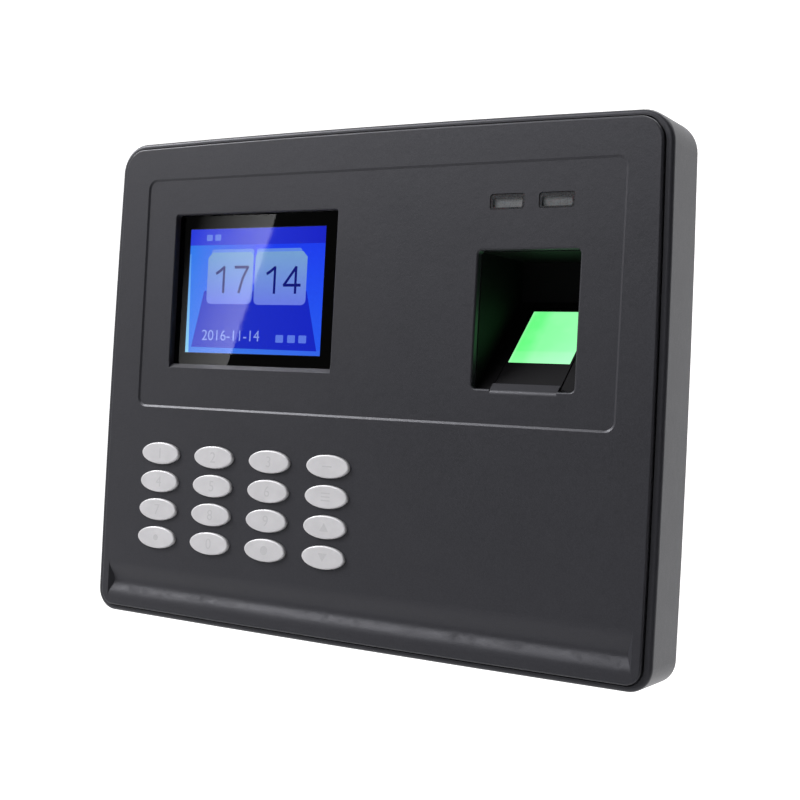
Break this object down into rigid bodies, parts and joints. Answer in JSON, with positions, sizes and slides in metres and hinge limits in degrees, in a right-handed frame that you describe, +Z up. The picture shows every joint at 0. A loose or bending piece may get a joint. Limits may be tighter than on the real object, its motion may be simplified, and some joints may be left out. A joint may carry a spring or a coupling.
{
  "type": "fingerprint scanner terminal",
  "caption": "Wall-mounted fingerprint scanner terminal with a colour display, oval keys, a finger well over a lit prism, and a steel wall plate.",
  "frame": {"origin": "middle of the wall plate's back face, where the terminal meets the wall", "axes": "+X to the right of a person who faces the terminal, +Y towards the wall, +Z up"},
  "size_m": [0.18, 0.0336, 0.1434],
  "materials": {
    "case_plastic": "fine even texture, dark grey moulded ABS",
    "guide_plastic": "smooth black moulded plastic",
    "key_plastic": "silver-grey satin key caps with faint printed legends",
    "window_glass": "polished clear acrylic with a black printed border",
    "prism_glass": "polished prism lit green from behind",
    "lcd_glass": "lit liquid crystal panel behind a polariser",
    "backlight_plastic": "milky acrylic light guide",
    "light_pipe": "smoked translucent acrylic",
    "led_lens": "milky LED package",
    "circuit_board": "green solder resist on glass-epoxy board",
    "chip_black": "black epoxy package",
    "lens_black": "black moulded plastic",
    "socket_plastic": "cream nylon",
    "tongue_plastic": "white plastic",
    "flat_cable": "white flat flexible cable",
    "flex_film": "amber polyimide film",
    "wire_sleeve": "black PVC sleeve",
    "tape_black": "black double-sided tape",
    "speaker_film": "thin formed film",
    "silicone": "grey silicone rubber",
    "capacitor_sleeve": "sleeved aluminium can",
    "cell_steel": "polished stainless can",
    "bright_steel": "tin-plated pressed steel",
    "screw_steel": "zinc-plated steel",
    "zinc_steel": "zinc-plated steel sheet"
  },
  "bodies": {
    "terminal": {"rear_housing": "case_plastic", "front_cover": "case_plastic", "window_tape": "tape_black", "display_window": "window_glass", "lcd_panel": "lcd_glass", "lcd_backlight": "backlight_plastic", "lcd_frame": "bright_steel", "lcd_flex": "flex_film", "light_pipe_left": "light_pipe", "light_pipe_right": "light_pipe", "status_leds": "led_lens", "finger_guide": "guide_plastic", "sensor_housing": "guide_plastic", "sensor_prism": "prism_glass", "sensor_light_board": "circuit_board", "sensor_lens": "lens_black", "sensor_camera_board": "circuit_board", "sensor_cable": "wire_sleeve", "keypad_mat": "silicone", "keypad_board": "circuit_board", "keypad_cable": "flat_cable", "main_board": "circuit_board", "processor_chip": "chip_black", "memory_chips": "chip_black", "board_capacitors": "capacitor_sleeve", "cell_holder": "socket_plastic", "coin_cell": "cell_steel", "cable_sockets": "socket_plastic", "io_board": "circuit_board", "io_cable": "flat_cable", "usb_socket": "bright_steel", "usb_tongue": "tongue_plastic", "dc_jack": "lens_black", "dc_jack_pin": "bright_steel", "reset_switch": "lens_black", "speaker_basket": "zinc_steel", "speaker_cone": "speaker_film", "speaker_leads": "wire_sleeve", "board_screws": "screw_steel", "case_screws": "screw_steel", "wall_plate": "zinc_steel", "plate_lock_screw": "screw_steel"},
    "key_1": {"key_1": "key_plastic"},
    "key_2": {"key_2": "key_plastic"},
    "key_3": {"key_3": "key_plastic"},
    "key_exit": {"key_exit": "key_plastic"},
    "key_4": {"key_4": "key_plastic"},
    "key_5": {"key_5": "key_plastic"},
    "key_6": {"key_6": "key_plastic"},
    "key_menu": {"key_menu": "key_plastic"},
    "key_7": {"key_7": "key_plastic"},
    "key_8": {"key_8": "key_plastic"},
    "key_9": {"key_9": "key_plastic"},
    "key_up": {"key_up": "key_plastic"},
    "key_power": {"key_power": "key_plastic"},
    "key_0": {"key_0": "key_plastic"},
    "key_ok": {"key_ok": "key_plastic"},
    "key_down": {"key_down": "key_plastic"},
    "reset_button": {"reset_button": "tongue_plastic"}
  },
  "joints": [
    {"name": "key_1_press", "type": "slide", "parent": "terminal", "child": "key_1", "axis": [0, 1, 0], "range_m": [0, 0.001], "stiffness_N_per_m": 900, "springref_m": -0.0008},
    {"name": "key_2_press", "type": "slide", "parent": "terminal", "child": "key_2", "axis": [0, 1, 0], "range_m": [0, 0.001], "stiffness_N_per_m": 900, "springref_m": -0.0008},
    {"name": "key_3_press", "type": "slide", "parent": "terminal", "child": "key_3", "axis": [0, 1, 0], "range_m": [0, 0.001], "stiffness_N_per_m": 900, "springref_m": -0.0008},
    {"name": "key_exit_press", "type": "slide", "parent": "terminal", "child": "key_exit", "axis": [0, 1, 0], "range_m": [0, 0.001], "stiffness_N_per_m": 900, "springref_m": -0.0008},
    {"name": "key_4_press", "type": "slide", "parent": "terminal", "child": "key_4", "axis": [0, 1, 0], "range_m": [0, 0.001], "stiffness_N_per_m": 900, "springref_m": -0.0008},
    {"name": "key_5_press", "type": "slide", "parent": "terminal", "child": "key_5", "axis": [0, 1, 0], "range_m": [0, 0.001], "stiffness_N_per_m": 900, "springref_m": -0.0008},
    {"name": "key_6_press", "type": "slide", "parent": "terminal", "child": "key_6", "axis": [0, 1, 0], "range_m": [0, 0.001], "stiffness_N_per_m": 900, "springref_m": -0.0008},
    {"name": "key_menu_press", "type": "slide", "parent": "terminal", "child": "key_menu", "axis": [0, 1, 0], "range_m": [0, 0.001], "stiffness_N_per_m": 900, "springref_m": -0.0008},
    {"name": "key_7_press", "type": "slide", "parent": "terminal", "child": "key_7", "axis": [0, 1, 0], "range_m": [0, 0.001], "stiffness_N_per_m": 900, "springref_m": -0.0008},
    {"name": "key_8_press", "type": "slide", "parent": "terminal", "child": "key_8", "axis": [0, 1, 0], "range_m": [0, 0.001], "stiffness_N_per_m": 900, "springref_m": -0.0008},
    {"name": "key_9_press", "type": "slide", "parent": "terminal", "child": "key_9", "axis": [0, 1, 0], "range_m": [0, 0.001], "stiffness_N_per_m": 900, "springref_m": -0.0008},
    {"name": "key_up_press", "type": "slide", "parent": "terminal", "child": "key_up", "axis": [0, 1, 0], "range_m": [0, 0.001], "stiffness_N_per_m": 900, "springref_m": -0.0008},
    {"name": "key_power_press", "type": "slide", "parent": "terminal", "child": "key_power", "axis": [0, 1, 0], "range_m": [0, 0.001], "stiffness_N_per_m": 900, "springref_m": -0.0008},
    {"name": "key_0_press", "type": "slide", "parent": "terminal", "child": "key_0", "axis": [0, 1, 0], "range_m": [0, 0.001], "stiffness_N_per_m": 900, "springref_m": -0.0008},
    {"name": "key_ok_press", "type": "slide", "parent": "terminal", "child": "key_ok", "axis": [0, 1, 0], "range_m": [0, 0.001], "stiffness_N_per_m": 900, "springref_m": -0.0008},
    {"name": "key_down_press", "type": "slide", "parent": "terminal", "child": "key_down", "axis": [0, 1, 0], "range_m": [0, 0.001], "stiffness_N_per_m": 900, "springref_m": -0.0008},
    {"name": "reset_press", "type": "slide", "parent": "terminal", "child": "reset_button", "axis": [0, 0, 1], "range_m": [0, 0.00025], "stiffness_N_per_m": 4000, "springref_m": -0.0001}
  ]
}
